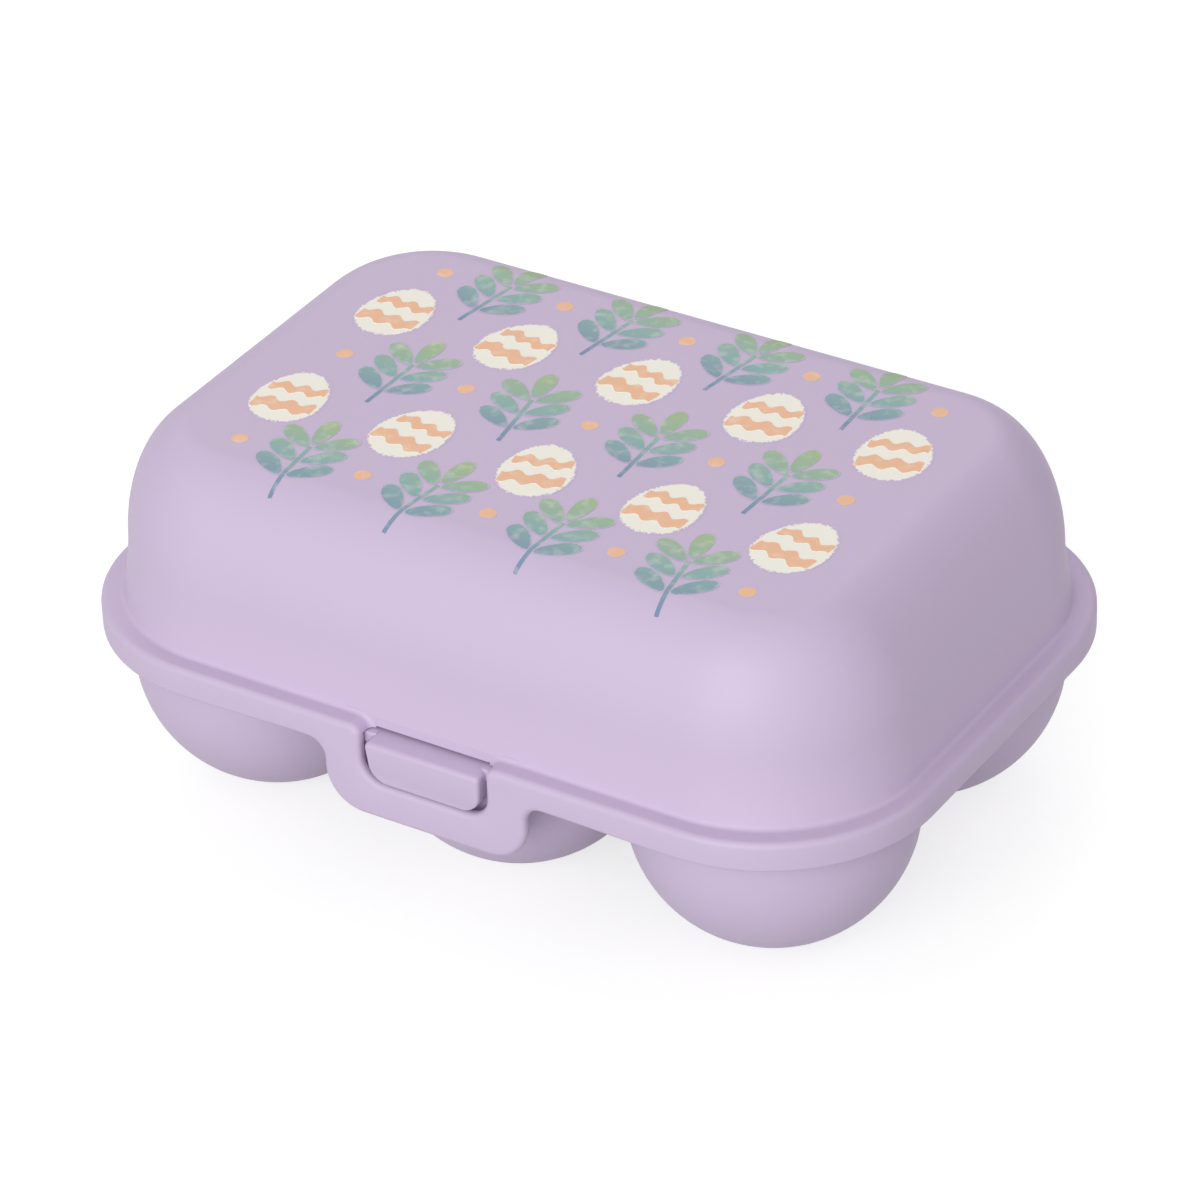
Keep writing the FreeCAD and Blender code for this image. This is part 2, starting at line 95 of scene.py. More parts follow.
def linear(hex_colour):
    """A #RRGGBB colour in linear light, with full alpha."""
    shares = [int(hex_colour[place:place + 2], 16) / 255 for place in (1, 3, 5)]
    return tuple(s / 12.92 if s <= 0.04045 else ((s + 0.055) / 1.055) ** 2.4 for s in shares) + (1.0,)


def add(tree, kind, inputs=None, **settings):
    """A node with its settings; inputs holds values, or the sockets that feed them."""
    node = tree.nodes.new(kind)
    for name, value in settings.items():
        setattr(node, name, value)
    for socket, value in (inputs or {}).items():
        if isinstance(value, bpy.types.NodeSocket):
            tree.links.new(value, node.inputs[socket])
        else:
            node.inputs[socket].default_value = value
    return node


def blank_material(name):
    """A material with an empty node tree."""
    material = bpy.data.materials.new(name)
    material.use_nodes = True
    material.node_tree.nodes.clear()
    return material


def moulded_polypropylene(name, colour, shade_colour):
    """Polypropylene from a spark-eroded mould: matt, faintly grained, with a slow drift in its tint."""
    flow_size = 55 * MM
    flow_detail = 2.0
    # The real grain is about 0.1 mm; it is drawn coarser so that it shows.
    grain_size = 0.55 * MM
    grain_depth = 0.012 * MM
    grain_detail = 3.0
    grain_low, grain_high = 0.3, 0.7
    least_roughness, most_roughness = 0.46, 0.56
    relief_strength = 0.35
    polypropylene_ior = 1.49
    material = blank_material(name)
    tree = material.node_tree
    place = add(tree, "ShaderNodeTexCoord").outputs["Object"]
    flow = add(tree, "ShaderNodeTexNoise", {
        "Vector": place, "Scale": 1 / flow_size, "Detail": flow_detail})
    # A Mix node takes its two colours at sockets 6 and 7, and gives them at output 2.
    tint = add(tree, "ShaderNodeMix", {
        0: flow.outputs[0], 6: linear(colour), 7: linear(shade_colour)}, data_type="RGBA")
    grain = add(tree, "ShaderNodeTexNoise", {
        "Vector": place, "Scale": 1 / grain_size, "Detail": grain_detail})
    gloss = add(tree, "ShaderNodeMapRange", {
        "Value": grain.outputs[0], "From Min": grain_low, "From Max": grain_high,
        "To Min": least_roughness, "To Max": most_roughness})
    relief = add(tree, "ShaderNodeBump", {
        "Height": grain.outputs[0], "Strength": relief_strength, "Distance": grain_depth})
    surface = add(tree, "ShaderNodeBsdfPrincipled", {
        "Base Color": tint.outputs[2], "Roughness": gloss.outputs[0],
        "Normal": relief.outputs[0], "IOR": polypropylene_ior})
    add(tree, "ShaderNodeOutputMaterial", {"Surface": surface.outputs[0]})
    return material


def arc(across, up, radius, start_degrees, end_degrees, steps, rise=None):
    """Points on part of a circle, ends included, or on an ellipse whose half height is rise."""
    half_height = radius if rise is None else rise
    points = []
    for step in range(steps + 1):
        angle = math.radians(start_degrees + (end_degrees - start_degrees) * step / steps)
        points.append((across + radius * math.cos(angle), up + half_height * math.sin(angle)))
    return points


def full_circle(across, up, radius, sides):
    return arc(across, up, radius, 0, 360, sides)[:-1]


def level_circle(radius, level, across=0.0, up=0.0):
    return [Vector((x, y, level)) for x, y in full_circle(across, up, radius, cup_sides)]


def skin(bm, rings, capped=True):
    """Faces between rings of as many points each; returns the rings' vertices."""
    loops = [[bm.verts.new(point) for point in ring] for ring in rings]
    for near, far in zip(loops, loops[1:]):
        for index in range(len(near)):
            after = (index + 1) % len(near)
            bm.faces.new((near[index], near[after], far[after], far[index]))
    if capped:
        bm.faces.new(loops[0])
        bm.faces.new(loops[-1])
    return loops


def make_piece(name, bm, finish):
    """A mesh object at the origin, its faces smooth but for the sharp turns."""
    bmesh.ops.remove_doubles(bm, verts=bm.verts, dist=weld_distance)
    bmesh.ops.dissolve_degenerate(bm, edges=bm.edges, dist=weld_distance)
    bmesh.ops.recalc_face_normals(bm, faces=bm.faces)
    mesh = bpy.data.meshes.new(name)
    bm.to_mesh(mesh)
    bm.free()
    mesh.shade_smooth()
    mesh.set_sharp_from_angle(angle=sharp_turn)
    mesh.materials.append(finish)
    piece = bpy.data.objects.new(name, mesh)
    bpy.context.collection.objects.link(piece)
    return piece


def apply_tree(piece, tree, values):
    """Runs a node tree on a piece and keeps the result as the piece's plain mesh."""
    modifier = piece.modifiers.new(tree.name, "NODES")
    modifier.node_group = tree
    for item in tree.interface.items_tree:
        if item.in_out == "INPUT" and item.name in values:
            modifier[item.identifier] = values[item.name]
    depsgraph = bpy.context.evaluated_depsgraph_get()
    made = bpy.data.meshes.new_from_object(piece.evaluated_get(depsgraph), depsgraph=depsgraph)
    piece.modifiers.clear()
    made.name = piece.name
    piece.data = made


def rows_tree(name, more_inputs):
    """A tree that sets points out in rows about a middle; gives the tree, its inputs and the points."""
    tree = bpy.data.node_groups.new(name, "GeometryNodeTree")
    inputs = {"Piece": "Geometry", "Columns": "Int", "Rows": "Int", "Length": "Float", "Width": "Float",
              "Middle": "Vector", "Finish": "Material", **more_inputs}
    for socket, kind in inputs.items():
        tree.interface.new_socket(socket, in_out="INPUT", socket_type="NodeSocket" + kind)
    tree.interface.new_socket("Pieces", in_out="OUTPUT", socket_type="NodeSocketGeometry")
    given = add(tree, "NodeGroupInput").outputs
    grid = add(tree, "GeometryNodeMeshGrid", {
        "Size X": given["Length"], "Size Y": given["Width"],
        "Vertices X": given["Columns"], "Vertices Y": given["Rows"]})
    moved = add(tree, "GeometryNodeTransform", {
        "Geometry": grid.outputs[0], "Translation": given["Middle"]})
    return tree, given, moved.outputs[0]


def cup_tree():
    """Sets one cup out in rows and columns about the middle of the tray."""
    tree, given, points = rows_tree("Rows of egg cups", {})
    stood = add(tree, "GeometryNodeInstanceOnPoints", {"Points": points, "Instance": given["Piece"]})
    real = add(tree, "GeometryNodeRealizeInstances", {"Geometry": stood.outputs[0]})
    dressed = add(tree, "GeometryNodeSetMaterial", {
        "Geometry": real.outputs[0], "Material": given["Finish"]})
    add(tree, "NodeGroupOutput", {"Pieces": dressed.outputs[0]})
    return tree


lilac = moulded_polypropylene("lilac matt polypropylene", lilac_colour, lilac_shade_colour)

foot_turn = math.degrees(math.asin((foot_radius + foot_round) / cup_radius))
floor_reach = math.sqrt(mouth_radius**2 - (cup_centre - cup_floor) ** 2)
floor_turn = math.degrees(math.asin(floor_reach / mouth_radius))
ball_outside = arc(0, cup_centre, cup_radius, -90 + foot_turn, 0, ball_steps)
ball_inside = arc(0, cup_centre, mouth_radius, 0, -90 + floor_turn, ball_steps)
ball_start = ball_outside[0]
foot_curve = [
    ((1 - t) ** 2 * (foot_radius - foot_round) + 2 * t * (1 - t) * foot_radius + t**2 * ball_start[0],
     t**2 * ball_start[1])
    for t in (step / round_steps for step in range(round_steps))
]
neck = [(cup_radius, deck_underside), (mouth_radius, deck_underside)]
cup_profile = foot_curve + ball_outside + neck + ball_inside
cup_mesh = bmesh.new()
skin(cup_mesh, [level_circle(radius, level) for radius, level in cup_profile])
egg_cups = make_piece("egg_cups", cup_mesh, lilac)
apply_tree(egg_cups, cup_tree(), {
    "Columns": cup_columns, "Rows": cup_rows,
    "Length": last_cup.x - first_cup.x, "Width": last_cup.y - first_cup.y,
    "Middle": (middle.x, middle.y, 0.0), "Finish": lilac})
cup_nodes = [f"egg_cup_{row}_{side}" for row in ("front", "back") for side in ("left", "middle", "right")]
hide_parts(*cup_nodes)
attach(egg_cups, "base")

# Tray deck: the flat rim that joins the cups' mouths, moulded in one with them, 2 mm thick.
# Four lugs at its back carry the hinge pins; the squared heel on each stops the lid when it is open.
# The lid's skirt closes round its edge.
deck_thickness = 2 * MM
deck_corner = 28.4 * MM
mouth_round = 0.9 * MM
edge_round = 0.4 * MM
corner_steps = 26
bite_half = 10.5 * MM
bite_depth = 2.2 * MM
lug_width = 5 * MM
lug_side_gap = 0.3 * MM
lug_round = 0.35 * MM
lug_under_gap = 0.5 * MM
knuckle_radius = 3.2 * MM
knuckle_width = 12 * MM
knuckle_gap = 0.4 * MM
stop_turn = math.radians(112)
pin_bore = 1.05 * MM
bore_steps = 28

deck_low, deck_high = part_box("tray_deck")
deck_top = deck_underside + deck_thickness
half_length = deck_high.x
half_width = middle.y - deck_low.y
deck_back = middle.y + half_width
bite_back = bite_depth - half_width
pin_low, pin_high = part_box("hinge_pin_right")
hinge_stations = {"left": -(pin_low.x + pin_high.x) / 2, "right": (pin_low.x + pin_high.x) / 2}
joint_places = {joint["name"]: Vector(joint["pos_m"]) for joint in frame["joints"]}
hinge_axis = joint_places["lid_hinge"]
skirt_level = hinge_axis.z


def rim_ring(level, half_x, half_y, corner):
    """Points round the deck: round corners, and a bite in the front edge where the catch is moulded on."""
    points = []
    for quarter, (side_x, side_y) in enumerate(((1, -1), (1, 1), (-1, 1), (-1, -1))):
        start = -90 + 90 * quarter
        points += arc(side_x * (half_x - corner), side_y * (half_y - corner), corner,
                      start, start + 90, corner_steps)
    points += [(-bite_half, -half_y), (-bite_half, bite_back)]
    points += [(bite_half, bite_back), (bite_half, -half_y)]
    return [Vector((x, middle.y + y, level)) for x, y in points]


def fill_between(bm, loops):
    """Flat faces inside the first loop of vertices, left open inside the others."""
    edges = []
    for loop in loops:
        for start, end in zip(loop, loop[1:] + loop[:1]):
            edges.append(bm.edges.get((start, end)) or bm.edges.new((start, end)))
    bmesh.ops.triangle_fill(bm, use_beauty=True, use_dissolve=False, edges=edges)


def inset_outline(outline, distance, share):
    """A closed outline drawn in by a distance, of which each edge takes the share(start, end)."""
    straight_limit = 1e-6
    count = len(outline)
    lines = []
    for index, start in enumerate(outline):
        end = outline[(index + 1) % count]
        along = (Vector(end) - Vector(start)).normalized()
        inward = Vector((-along.y, along.x))
        lines.append((inward, inward.dot(Vector(start)) + distance * share(start, end)))
    points = []
    for index in range(count):
        (first, first_reach), (second, second_reach) = lines[index - 1], lines[index]
        turn = first.x * second.y - first.y * second.x
        if abs(turn) < straight_limit:
            corner = Vector(outline[index])
            point = corner + second * (second_reach - second.dot(corner))
        else:
            point = Vector(((first_reach * second.y - second_reach * first.y) / turn,
                            (first.x * second_reach - second.x * first_reach) / turn))
        points.append((point.x, point.y))
    return points


def all_round(start, end):
    return 1.0


def plate(bm, outline, near, far, place, near_round, far_round, share=all_round, hole=None):
    """A block between two depths with rounded edges; its outline turns left all the way round."""
    way = 1 if far > near else -1
    sections = arc(near_round, near + way * near_round, near_round, 270, 180, round_steps,
                   rise=way * near_round)
    sections += arc(far_round, far - way * far_round, far_round, 180, 90, round_steps,
                    rise=way * far_round)
    rings = []
    for inset, depth in sections:
        rings.append([place(a, b, depth) for a, b in inset_outline(outline, inset, share)])
    loops = skin(bm, rings, capped=hole is None)
    if hole is not None:
        tube = skin(bm, [[place(a, b, depth) for a, b in hole] for depth in (near, far)], capped=False)
        fill_between(bm, [loops[0], tube[0]])
        fill_between(bm, [loops[-1], tube[-1]])


def across_hinge(y, z, x):
    return Vector((x, y, z))


deck_mesh = bmesh.new()
edge_profile = arc(edge_round, deck_top - edge_round, edge_round, 90, 180, round_steps)
edge_profile.append((0.0, deck_underside))
edge_loops = skin(deck_mesh, [
    rim_ring(level, half_length - inset, half_width - inset, deck_corner - inset)
    for inset, level in edge_profile
], capped=False)
lip_profile = arc(mouth_radius + mouth_round, deck_top - mouth_round, mouth_round, 90, 180, round_steps)
lip_profile.append((mouth_radius, deck_underside))
mouth_loops = []
for column in range(cup_columns):
    for row in range(cup_rows):
        across = first_cup.x + column * (last_cup.x - first_cup.x) / (cup_columns - 1)
        up = first_cup.y + row * (last_cup.y - first_cup.y) / (cup_rows - 1)
        lip_rings = [level_circle(radius, level, across, up) for radius, level in lip_profile]
        mouth_loops.append(skin(deck_mesh, lip_rings, capped=False))
fill_between(deck_mesh, [edge_loops[0]] + [loops[0] for loops in mouth_loops])
fill_between(deck_mesh, [edge_loops[-1]] + [loops[-1] for loops in mouth_loops])

# The heel's corner lies where the lid's skirt reaches it, turned as far as the stop.
heel_rise = ((knuckle_radius + knuckle_gap) + knuckle_radius * math.cos(stop_turn)) / math.sin(stop_turn)
heel_degrees = math.degrees(math.asin(heel_rise / knuckle_radius))
neck_degrees = 180 + math.degrees(math.asin(lug_under_gap / knuckle_radius))
lug_root = middle.y + (last_cup.y - first_cup.y) / 2 + cup_radius
lug_outline = [(lug_root, deck_underside), (lug_root, skirt_level - knuckle_radius)]
lug_outline += arc(hinge_axis.y, skirt_level, knuckle_radius, -90, 0, bore_steps // 2)
lug_outline.append((hinge_axis.y + knuckle_radius, skirt_level + heel_rise))
lug_outline += arc(hinge_axis.y, skirt_level, knuckle_radius, heel_degrees, neck_degrees, bore_steps)
lug_outline += [(deck_back, skirt_level - lug_under_gap), (deck_back, deck_underside)]
bore_ring = full_circle(hinge_axis.y, skirt_level, pin_bore, bore_steps)
for station in hinge_stations.values():
    for side in (-1, 1):
        inner_end = station + side * (knuckle_width / 2 + lug_side_gap)
        plate(deck_mesh, lug_outline, inner_end, inner_end + side * lug_width, across_hinge,
              lug_round, lug_round, hole=bore_ring)
tray_deck = make_piece("tray_deck_moulding", deck_mesh, lilac)
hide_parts("tray_deck")
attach(tray_deck, "base")

# Latch catch: the blunt nose moulded on the front edge of the deck, which the tab's window snaps over.
# Its top runs out from under the lid's wall and slopes down to the front, so that the tab rides over it
# as the lid shuts. Its face leans back to its foot, and a wider web under the deck carries it.
catch_corner = 3.7 * MM
catch_corner_steps = 14
catch_top_corner = 1.1 * MM
catch_taper = 0.25 * MM
catch_round = 1.0 * MM
catch_back_round = 0.1 * MM
catch_top_share = 1.0
catch_foot_share = 0.1
catch_tail = 5.0 * MM
catch_tail_rise = 0.1 * MM
catch_foot_rise = 0.1 * MM
catch_drop = 0.5 * MM
catch_drop_power = 4
catch_lean = 0.75 * MM
web_half = 16.5 * MM
web_setback = 1.9 * MM
web_depth = 1.9 * MM
web_corner = 1.5 * MM
web_drop = 2.6 * MM

catch_low, catch_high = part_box("latch_catch")
catch_half = catch_high.x
catch_top = deck_top + catch_tail_rise
catch_foot = catch_low.z + catch_foot_rise
web_front = deck_low.y + web_setback
web_foot = catch_foot - web_drop


def on_front(x, z, y):
    return Vector((x, y, z))


def mirrored(points):
    return [(-x, z) for x, z in reversed(points)]


def catch_share(start, end):
    """The top edge is fully rounded, the ends about half as much, and the foot least."""
    along = (Vector(end) - Vector(start)).normalized()
    mean_share = (catch_top_share + catch_foot_share) / 2
    return mean_share - (catch_top_share - mean_share) * along.x


catch_side = arc(catch_half - catch_taper - catch_corner, catch_foot + catch_corner, catch_corner,
                 -90, 0, catch_corner_steps)
catch_side += arc(catch_half - catch_top_corner, catch_top - catch_top_corner, catch_top_corner,
                  0, 90, round_steps)
catch_mesh = bmesh.new()
plate(catch_mesh, catch_side + mirrored(catch_side), catch_low.y, catch_low.y + catch_tail, on_front,
      catch_round, catch_back_round, share=catch_share)
for vertex in catch_mesh.verts:
    height = (vertex.co.z - catch_foot) / (catch_top - catch_foot)
    forward = 1 - (vertex.co.y - catch_low.y) / catch_tail
    vertex.co.z -= catch_drop * forward * height**catch_drop_power
    vertex.co.y += catch_lean * forward * (1 - height)
web_side = arc(web_half - web_corner, web_foot + web_corner, web_corner, -90, 0, catch_corner_steps)
web_side.append((web_half, deck_underside))
plate(catch_mesh, web_side + mirrored(web_side), web_front, web_front + web_depth, on_front,
      catch_back_round, catch_back_round)
latch_catch = make_piece("latch_catch_nose", catch_mesh, lilac)
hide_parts("latch_catch")
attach(latch_catch, "base")

# Lid shell: a deep dome with a flat top, standing on a narrow ledge whose edge turns down as a skirt.
# One moulding of the same polypropylene, 1.8 mm thick, with two hinge knuckles at the back.
# At the front the ledge is notched down to the dome's wall, to let the catch stand in the tab's window.
lid_wall = 1.8 * MM
rim_corner = 30.7 * MM
skirt_round = 1.1 * MM
skirt_foot_round = 0.45 * MM
ledge_width = 3.75 * MM
ledge_root_round = 0.8 * MM
ledge_tuck = 0.6 * MM
dome_corner = 29.25 * MM
foot_corner_step = 1.3 * MM
corner_loss_share = 1.23
wall_rise = 10.8 * MM
wall_lean_degrees = 5.5
shoulder_run = 13.9 * MM
shoulder_rise = 22.3 * MM
shoulder_steps = 26
# The dome stands lower by two films of ink, so that the print stays within the lid's height.
ink_room = 0.06 * MM
window_half = 12.5 * MM
notch_rise = 0.4 * MM
notch_end = 17 * MM
notch_shoulder = 2.4 * MM
notch_root_round = 1.2 * MM
flex_end = 46 * MM
# Where sections stand along the lid's straight sides: in the notch, beside it, at the ends and at the back.
notch_stops = [x * MM for x in (0, 3, 6, 9, 12, 14.5)]
flex_stops = [x * MM for x in (21, 25, 30, 35, 40, 43)]
side_stops = [y * MM for y in (-15, -5, 5, 15)]
back_stops = [x * MM for x in range(-40, 41, 10)]

_, lid_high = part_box("lid_shell")
tab_axis = joint_places["latch_flex"]
rim_half_length = lid_high.x
rim_half_width = middle.y - tab_axis.y
lid_front = middle.y - rim_half_width
lid_back = middle.y + rim_half_width
ledge_underside = tab_axis.z
ledge_level = ledge_underside + lid_wall
shoulder_level = ledge_level + wall_rise
wall_slope = math.tan(math.radians(wall_lean_degrees))
wall_inset = wall_rise * wall_slope


def dome_row(inset, level, wall):
    """A row on the dome: its inset from the rim, its level, and its corner radius, tighter at the foot."""
    corner = dome_corner - wall - corner_loss_share * inset
    corner -= foot_corner_step * max(0.0, 1 - inset / wall_inset)
    return ledge_width + wall + inset, level, corner


def lid_profile(cut=False, notched=False):
    """Section of the lid from the edge of its top, down the outside, round the skirt's foot and up inside.

    A row is (inset from the rim, level, corner radius). The cut takes off the skirt below the ledge,
    and in the notch the ledge is gone too, back to the dome's wall.
    """
    root_out = ledge_root_round * math.tan(math.radians(90 - wall_lean_degrees) / 2)
    root_start = 180 + wall_lean_degrees
    foot = skirt_level + skirt_foot_round
    rows = []
    for across, up in arc(0, 0, shoulder_run, 90, 0, shoulder_steps, rise=shoulder_rise):
        rows.append(dome_row(wall_inset + shoulder_run - across, shoulder_level + up - ink_room, 0.0))
    for out, up in arc(root_out, ledge_root_round, ledge_root_round, root_start, 270, round_steps):
        rows.append(dome_row(-out, ledge_level + up, 0.0))
    rim = arc(skirt_round, ledge_level - skirt_round, skirt_round, 90, 180, round_steps)
    rim.append((0.0, ledge_underside))
    rim += arc(skirt_foot_round, foot, skirt_foot_round, 180, 270, round_steps)
    rim += arc(lid_wall - skirt_foot_round, foot, skirt_foot_round, 270, 360, round_steps)
    rim.append((lid_wall, ledge_underside))
    rows += [(inset, level, rim_corner - inset) for inset, level in rim]
    rows.append(dome_row(-lid_wall * wall_slope, ledge_underside, lid_wall))
    inner_run = shoulder_run - lid_wall
    for across, up in arc(0, 0, inner_run, 0, 90, shoulder_steps, rise=shoulder_rise - lid_wall):
        rows.append(dome_row(wall_inset + inner_run - across, shoulder_level + up, lid_wall))
    if cut:
        rows = [(inset, max(level, ledge_underside), corner) for inset, level, corner in rows]
    if notched:
        rows = [(max(inset, ledge_width), max(level, ledge_underside + notch_rise), corner)
                for inset, level, corner in rows]
    return rows


def front_columns():
    """The lid's sections along the straight front, from left to right, as (place, section)."""
    notched = lid_profile(cut=True, notched=True)
    cut = lid_profile(cut=True)
    right_half = [(x, notched) for x in notch_stops + [notch_end]]
    right_half += [(x, cut) for x in [notch_end] + flex_stops + [flex_end]]
    right_half.append((flex_end, lid_profile()))
    left_half = [(-x, section) for x, section in reversed(right_half[1:])]
    return left_half + right_half


def lid_points():
    """The lid's surface as columns of points, one column for each place round the rim."""
    plain = lid_profile()
    columns = []

    def corner_points(side_x, side_y, start):
        for step in range(corner_steps + 1):
            angle = math.radians(start + 90 * step / corner_steps)
            column = []
            for inset, level, corner in plain:
                x = side_x * (rim_half_length - inset - corner) + corner * math.cos(angle)
                y = side_y * (rim_half_width - inset - corner) + corner * math.sin(angle)
                column.append(Vector((x, middle.y + y, level)))
            columns.append(column)

    for x, section in front_columns():
        columns.append([Vector((x, lid_front + inset, level)) for inset, level, _ in section])
    corner_points(1, -1, -90)
    for y in side_stops:
        columns.append([Vector((rim_half_length - inset, middle.y + y, level)) for inset, level, _ in plain])
    corner_points(1, 1, 0)
    for x in reversed(back_stops):
        columns.append([Vector((x, lid_back - inset, level)) for inset, level, _ in plain])
    corner_points(-1, 1, 90)
    for y in reversed(side_stops):
        columns.append([Vector((inset - rim_half_length, middle.y + y, level)) for inset, level, _ in plain])
    corner_points(-1, -1, 180)
    return columns


def notch_side(bm, side):
    """The end of the ledge beside the notch: its top curves down to the window, its front stays rounded."""
    wall = lid_front + ledge_width
    path = []
    for step in range(corner_steps + 1):
        turn = math.radians(180 - 90 * step / corner_steps)
        normal = Vector((math.cos(turn) / notch_shoulder, math.sin(turn) / lid_wall)).normalized()
        root = notch_root_round + (ledge_root_round - notch_root_round) * math.sin(turn)
        path.append((window_half + notch_shoulder + notch_shoulder * math.cos(turn),
                     ledge_underside + lid_wall * math.sin(turn), normal, root))
    path.append((notch_end, ledge_level, Vector((0.0, 1.0)), ledge_root_round))
    columns = []
    for x, z, normal, root in path:
        rows = [(root, wall + ledge_tuck)]
        rows += arc(root, wall - root, root, 90, 180, round_steps)
        rows += arc(-skirt_round, lid_front + skirt_round, skirt_round, 0, -90, round_steps)
        spots = [(side * (x + normal.x * out), y, z + normal.y * out) for out, y in rows]
        columns.append([bm.verts.new(spot) for spot in spots])
    for near, far in zip(columns, columns[1:]):
        for index in range(len(near) - 1):
            bm.faces.new((near[index], near[index + 1], far[index + 1], far[index]))
    back_foot = bm.verts.new((side * notch_end, wall + ledge_tuck, ledge_underside))
    front_foot = bm.verts.new((side * notch_end, lid_front, ledge_underside))
    bm.faces.new(columns[0] + [front_foot, back_foot])
    bm.faces.new(columns[-1] + [front_foot, back_foot])
    bm.faces.new([column[-1] for column in columns] + [front_foot])
    bm.faces.new([column[0] for column in columns] + [back_foot])


lid_mesh = bmesh.new()
skin(lid_mesh, [list(ring) for ring in zip(*lid_points())])
knuckle_root = lid_back - lid_wall / 2
knuckle_outline = [(knuckle_root, skirt_level), (hinge_axis.y - knuckle_radius, skirt_level)]
knuckle_outline += arc(hinge_axis.y, skirt_level, knuckle_radius, 180, 450, 2 * bore_steps)[1:]
knuckle_outline.append((knuckle_root, skirt_level + knuckle_radius))
for station in hinge_stations.values():
    plate(lid_mesh, knuckle_outline, station - knuckle_width / 2, station + knuckle_width / 2,
          across_hinge, lug_round, lug_round, hole=bore_ring)
for side in (-1, 1):
    notch_side(lid_mesh, side)
lid_shell = make_piece("lid_dome", lid_mesh, lilac)
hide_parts("lid_shell")
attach(lid_shell, "lid")

# Latch tab: the tongue that hangs from the front of the ledge, with the window that holds the catch.
# It is moulded in one with the lid and springs about the ledge's edge, twisting the skirt on both sides,
# so the two strips of skirt beside it bend with it.
tab_leg = 7.5 * MM
tab_fillet = 3.2 * MM
tab_straight = 1.45 * MM
tab_corner = 7.5 * MM
tab_corner_steps = 16
window_drop = 5.1 * MM
window_corner = 4.2 * MM
inner_corner_steps = 12
tab_round = skirt_round
tab_back_round = 0.3 * MM
seam_tolerance = 0.001 * MM
strip_steps = 24

tab_half = window_half + tab_leg
tab_root = tab_half + tab_fillet
tab_foot = skirt_level - tab_fillet - tab_straight - tab_corner
window_foot = skirt_level - window_drop
tab_front = tab_axis.y
tab_back = tab_axis.y + lid_wall


def tab_share(start, end):
    """No rounding where the tab joins the ledge and the skirt."""
    level = max(abs(start[1] - ledge_underside), abs(end[1] - ledge_underside))
    side = max(abs(abs(start[0]) - tab_root), abs(abs(end[0]) - tab_root))
    return 0.0 if min(level, side) < seam_tolerance else 1.0


def strip_section(x, share):
    """Section of the skirt below the ledge; its foot is rounder where it joins the tab."""
    ease = share * share * (3 - 2 * share)
    front_round = tab_round + (skirt_foot_round - tab_round) * ease
    back_round = tab_back_round + (skirt_foot_round - tab_back_round) * ease
    section = [(tab_front, ledge_underside)]
    section += arc(tab_front + front_round, skirt_level + front_round, front_round, 180, 270, round_steps)
    section += arc(tab_back - back_round, skirt_level + back_round, back_round, 270, 360, round_steps)
    section.append((tab_back, ledge_underside))
    return [Vector((x, y, z)) for y, z in section]


right_edge = arc(tab_half - tab_corner, tab_foot + tab_corner, tab_corner, -90, 0, tab_corner_steps)
right_edge += arc(tab_root, skirt_level - tab_fillet, tab_fillet, 180, 90, inner_corner_steps)
right_edge += [(tab_root, ledge_underside), (window_half, ledge_underside)]
right_edge += arc(window_half - window_corner, window_foot + window_corner, window_corner,
                  0, -90, inner_corner_steps)
tab_mesh = bmesh.new()
plate(tab_mesh, right_edge + mirrored(right_edge), tab_front, tab_back, on_front,
      tab_round, tab_back_round, share=tab_share)
latch_tab = make_piece("latch_tab_tongue", tab_mesh, lilac)
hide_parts("latch_tab")
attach(latch_tab, "tab")

for side_name, side in (("left", -1), ("right", 1)):
    strip_mesh = bmesh.new()
    strip_sections = []
    for step in range(strip_steps + 1):
        share = step / strip_steps
        strip_sections.append(strip_section(side * (tab_root + (flex_end - tab_root) * share), share))
    skin(strip_mesh, strip_sections)
    strip = make_piece(f"skirt_strip_{side_name}", strip_mesh, lilac)
    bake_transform(strip, "lid", "tab", start=(side * flex_end, tab_front, ledge_underside),
             end=(side * tab_root, tab_front, ledge_underside))

# Hinge pins: two plain pins of the same plastic with bevelled ends, pushed through the lugs and knuckles.
# They sit in the lugs, and the lid's knuckles turn on them.
pin_bevel = 0.25 * MM
pin_sides = 28

for side_name in hinge_stations:
    low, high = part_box(f"hinge_pin_{side_name}")
    pin_radius = (high.z - low.z) / 2
    pin_profile = [(pin_radius - pin_bevel, low.x), (pin_radius, low.x + pin_bevel),
                   (pin_radius, high.x - pin_bevel), (pin_radius - pin_bevel, high.x)]
    pin_rings = []
    for radius, x in pin_profile:
        pin_circle = full_circle(hinge_axis.y, skirt_level, radius, pin_sides)
        pin_rings.append([across_hinge(y, z, x) for y, z in pin_circle])
    pin_mesh = bmesh.new()
    skin(pin_mesh, pin_rings)
    pin = make_piece(f"pin_{side_name}", pin_mesh, lilac)
    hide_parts(f"hinge_pin_{side_name}")
    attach(pin, "base")

# Print: rows of banded eggs, leafy sprigs and dots, screen-printed on the lid's top.
# The inks are matt and chalky, thin in places and a little rough at their edges.
# The film is a few hundredths of a millimetre thick and follows the lid over its shoulders.
ink_film = 0.03 * MM
ink_cream = "#FAF5EA"
ink_peach = "#F5C09C"
ink_leaf_foot = "#7D8DB0"
ink_leaf_middle = "#8FB3B2"
ink_leaf_tip = "#A9BF96"
fade_share = 0.2
ring_shares = (1.0, 0.9, 0.75, 0.6, 0.45, 0.3, 0.15, 0.0)
stroke_shares = (-1.0, -0.7, 0.0, 0.7, 1.0)
stroke_covers = (0.0, 1.0, 1.0, 1.0, 0.0)
outline_steps = 40
egg_half_width = 6.8 * MM
egg_half_height = 8.8 * MM
egg_narrowing_share = 0.14
low_band_share, low_band_half_height = -0.35, 1.7 * MM
high_band_share, high_band_half_height = 0.3, 1.275 * MM
